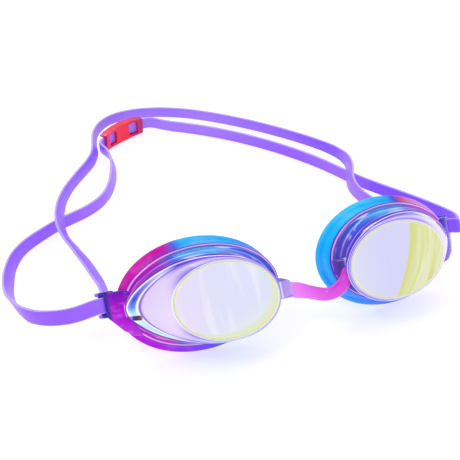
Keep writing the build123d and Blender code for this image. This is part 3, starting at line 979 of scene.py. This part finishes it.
# Going round its section: depth, lean in degrees, half width and half height
SEAL_SECTION = [
    (SEAL_START + 0.05, 10.8, FLANGE_A - 2.3, FLANGE_B - 2.3),
    (SEAL_START + 0.02, 10.8, FLANGE_A - 0.5, FLANGE_B - 0.5),
    (SEAL_START + 0.5, 10.4, FLANGE_A - 0.1, FLANGE_B - 0.1),
    (15.2, 9.2, FLANGE_A + 0.3, FLANGE_B + 0.5),
    (16.4, 8.2, SEAL_A - 1.1, SEAL_B - 1.7),
    (17.6, 7.2, SEAL_A - 0.4, SEAL_B - 0.9),
    (18.8, 6.0, SEAL_A - 0.05, SEAL_B - 0.25),
    (19.9, 5.0, SEAL_A, SEAL_B - 0.05),
    (20.7, 5.0, SEAL_A - 0.35, SEAL_B - 0.45),
    (21.15, 5.0, SEAL_A - 1.2, SEAL_B - 1.3),
    (21.2, 5.0, SEAL_A - 2.6, SEAL_B - 2.8),
    (21.0, 5.0, SEAL_A - 4.2, SEAL_B - 4.4),
    (20.3, 5.2, SEAL_A - 5.2, SEAL_B - 5.4),
    (18.6, 6.2, SEAL_A - 5.0, SEAL_B - 5.4),
    (16.6, 7.8, SEAL_A - 4.5, SEAL_B - 5.0),
    (15.0, 9.4, FLANGE_A - 2.9, FLANGE_B - 2.8),
    (SEAL_START + 0.5, 10.5, FLANGE_A - 2.6, FLANGE_B - 2.6),
]
# Over this depth the centre moves from the flange's to the seal's.
SEAL_SHIFT = 3.5


def seal(word):
    """Silicone ring: a rolled lip on the face side and a neck on the flange."""
    rings = []
    for depth, lean, a, b in SEAL_SECTION:
        share = min(max((depth - SEAL_START) / SEAL_SHIFT, 0), 1)
        centre = (SEAL_AT[0], FLANGE_AT[1] + (SEAL_AT[1] - FLANGE_AT[1]) * share)
        ring = [on_slant(turn, centre, a, b, depth, lean) for turn in turns(SEAL_AROUND)]
        rings.append([face_point(SIDES[word], *point) for point in ring])
    piece = mesh_object(word + "_seal_skirt", *skin(rings, closed_rings=True), word + "_seal")
    smooth_once(piece)
    paint(piece, seal_finish(word))
    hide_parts(word + "_seal")
    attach(piece, word + "_eyepiece")


for word in SIDES:
    seal(word)


# ------------------------------------------------------------------ strap
UP = Vector((0, 0, 1))
# The band's two ends stop this many degrees from the middle of the clip's arc, and each
# half of the arc has this many sections.
ARC_START = 0.5
ARC_STATIONS = 12
# The wrap round a post, from its INNER strand to its OUTER one, in degrees from
# outwards towards the front
WRAP_INNER = 70
WRAP_OUTER = 180
WRAP_STATIONS = 10
# Distance between sections on the free stretches
FREE_SPACING = 1.5


def upright(along):
    """Upward direction square to the direction of travel."""
    return (UP - along * along.dot(UP)).normalized()


def lean_of(along, width):
    """Degrees from the upright to the band's width, to the right of travel."""
    level = upright(along)
    right = along.cross(level)
    return math.degrees(math.atan2(width.dot(right), width.dot(level)))


def arc_station(angle):
    """Point, direction and width of the band on the clip's arc."""
    turn = math.radians(angle)
    out = Vector((math.cos(turn), math.sin(turn), 0))
    return ARC_CENTRE + out * ARC_RADIUS, Vector((-out.y, out.x, 0)), UP


def wrap_station(side, angle, travel):
    """Point, direction and width of the band where it wraps a post."""
    turn = math.radians(angle)
    out = Vector((side, 0, 0))
    front = -BACKWARD
    middle = face_point(side, *POST)
    point = middle + (out * math.cos(turn) + front * math.sin(turn)) * POST_REACH
    return point, (front * math.cos(turn) - out * math.sin(turn)) * travel, UPWARD


def free_stations(stations, first, last):
    """Sections of the band along one free stretch, without its two ends."""
    points = [first[0], *[Vector(s[:3]) for s in stations], last[0]]
    leans = [lean_of(first[1], first[2]), *[s[3] for s in stations], lean_of(last[1], last[2])]
    knots, at = spline(points, first[1], last[1])
    spans = round(knots[-1] / FREE_SPACING)
    sections = []
    for i in range(1, spans):
        s = knots[-1] * i / spans
        k = min(int(np.searchsorted(knots, s)) - 1, len(leans) - 2)
        share = (s - knots[k]) / (knots[k + 1] - knots[k])
        lean = leans[k] + (leans[k + 1] - leans[k]) * share * share * (3 - 2 * share)
        point, along = at(s)
        width = Matrix.Rotation(math.radians(lean), 3, along) @ upright(along)
        sections.append((point, along, width))
    return sections


def strap():
    """One band from the clip's middle round both posts and back to it."""
    arc = np.linspace(ARC_START, ARC_HALF, ARC_STATIONS)
    wrap = np.linspace(WRAP_INNER, WRAP_OUTER, WRAP_STATIONS)
    arc_left = [arc_station(ARC_MIDDLE + a) for a in arc]
    arc_right = [arc_station(ARC_MIDDLE - a) for a in arc[::-1]]
    wrap_left = [wrap_station(-1, a, 1) for a in wrap]
    wrap_right = [wrap_station(1, a, -1) for a in wrap[::-1]]
    route = [
        *arc_left,
        *free_stations(INNER_LEFT, arc_left[-1], wrap_left[0]),
        *wrap_left,
        *free_stations(OUTER, wrap_left[-1], wrap_right[0]),
        *wrap_right,
        *free_stations(INNER_RIGHT, wrap_right[-1], arc_right[0]),
        *arc_right,
    ]
    outline = rounded_section(STRAP_THICK, STRAP_WIDTH, STRAP_CORNER, 3)
    rings = []
    for point, along, width in route:
        across = width.cross(along).normalized()
        rings.append([point + across * x + width * y for x, y in outline])
    piece = mesh_object("strap_band", *skin(rings), "strap")
    wrap_uv(piece, len(rings), len(outline))
    paint(piece, strap_finish())
    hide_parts("head_strap")
    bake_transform(piece)


strap()


# ----------------------------------------------------------------- bridge
# Steps along the bridge and round it
BRIDGE_SPANS = 72
BRIDGE_AROUND = 32
# Half height and half depth of its section
BRIDGE_TALL = 2.6
BRIDGE_DEEP = 2.2
# Its ends are rounded over this length, down to a share whose square is the least.
END_LENGTH = 1.6
END_LEAST = 0.02
# How much it narrows half way along
NARROWING = 0.06
# Where the bulb by the left end is, how long it is and how much it adds
BULB_AT = 4.5
BULB_LENGTH = 2.5
BULB_SHARE = 0.16


def bridge_size(s, length):
    """Share of the bridge's full section at a distance along it."""
    from_end = min(min(s, length - s) / END_LENGTH, 1)
    swell = math.sqrt(max(1 - (1 - from_end) ** 2, END_LEAST))
    waist = 1 - NARROWING * math.sin(math.pi * s / length) ** 2
    bulb = 1 + BULB_SHARE * math.exp(-(((s - BULB_AT) / BULB_LENGTH) ** 2))
    return swell * waist * bulb


def bridge():
    """Oval bar along the bridge's middle line."""
    first = Vector(BRIDGE_PATH[1]) - Vector(BRIDGE_PATH[0])
    last = Vector(BRIDGE_PATH[-1]) - Vector(BRIDGE_PATH[-2])
    knots, at = spline(BRIDGE_PATH, first.normalized(), last.normalized())
    rings = []
    for i in range(BRIDGE_SPANS + 1):
        s = knots[-1] * i / BRIDGE_SPANS
        point, along = at(s)
        level = upright(along)
        across = level.cross(along).normalized()
        size = bridge_size(s, knots[-1])
        deep, tall = across * (BRIDGE_DEEP * size), level * (BRIDGE_TALL * size)
        rings.append(oval(point, deep, tall, BRIDGE_AROUND))
    piece = mesh_object("bridge_bar", *skin(rings), "bridge")
    paint(piece, bridge_finish())
    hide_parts("nose_bridge")
    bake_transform(piece)


bridge()


# ------------------------------------------------- floor, light and camera
# Lamps in metres and watts: place, size and power
LAMPS = {
    "key": ((-0.35, -0.25, 0.6), (0.16, 0.16), 0.6),
    "back": ((0.1, 0.6, 0.45), (0.35, 0.10), 0.7),
    "side": ((0.7, 0.0, 0.35), (0.1, 0.25), 0.3),
}
# The camera's place in millimetres, and its own axes
CAMERA_AT = (-120.14, -236.98, 213.65)
CAMERA_RIGHT = Vector((0.93314, -0.35934, -0.01072))
CAMERA_UP = Vector((0.20104, 0.49686, 0.84422))
CAMERA_AHEAD = Vector((0.29804, 0.78994, -0.53589))


def add(name, data, location, rotation):
    """New lamp or camera in the scene."""
    holder = bpy.data.objects.new(name, data)
    holder.location = location
    holder.rotation_mode = "QUATERNION"
    holder.rotation_quaternion = rotation
    bpy.context.scene.collection.objects.link(holder)
    return holder


def floor():
    """Pale floor, much wider than the goggles."""
    bpy.ops.mesh.primitive_plane_add(size=6, location=(0, 0, 0))
    plane = bpy.context.active_object
    plane.name = "floor"
    finish = Finish("pale_floor")
    finish.cover((0.62, 0.62, 0.62, 1), FLOOR_SURFACE)
    paint(plane, finish.material)


def light(name, location, size, power):
    """Rectangular lamp that faces the middle of the floor."""
    lamp = bpy.data.lights.new(name, "AREA")
    lamp.shape = "RECTANGLE"
    lamp.size, lamp.size_y = size
    lamp.energy = power
    add(name, lamp, location, (-Vector(location)).to_track_quat("-Z", "Y"))


def camera():
    """The photograph's view."""
    lens = bpy.data.cameras.new("camera")
    lens.sensor_width = 36
    lens.lens = 74.65
    lens.clip_start = 0.01
    lens.clip_end = 20
    axes = Matrix((CAMERA_RIGHT, CAMERA_UP, -CAMERA_AHEAD)).transposed()
    bpy.context.scene.camera = add("camera", lens, place(CAMERA_AT), axes.to_quaternion())


def surroundings():
    """Even white light from all round."""
    world = bpy.data.worlds.new("studio")
    world.use_nodes = True
    background = world.node_tree.nodes["Background"].inputs
    background["Color"].default_value = (1, 1, 1, 1)
    background["Strength"].default_value = 0.84
    bpy.context.scene.world = world


floor()
for name, (location, size, power) in LAMPS.items():
    light(name, location, size, power)
surroundings()
bpy.context.scene.view_settings.view_transform = "Standard"
camera()
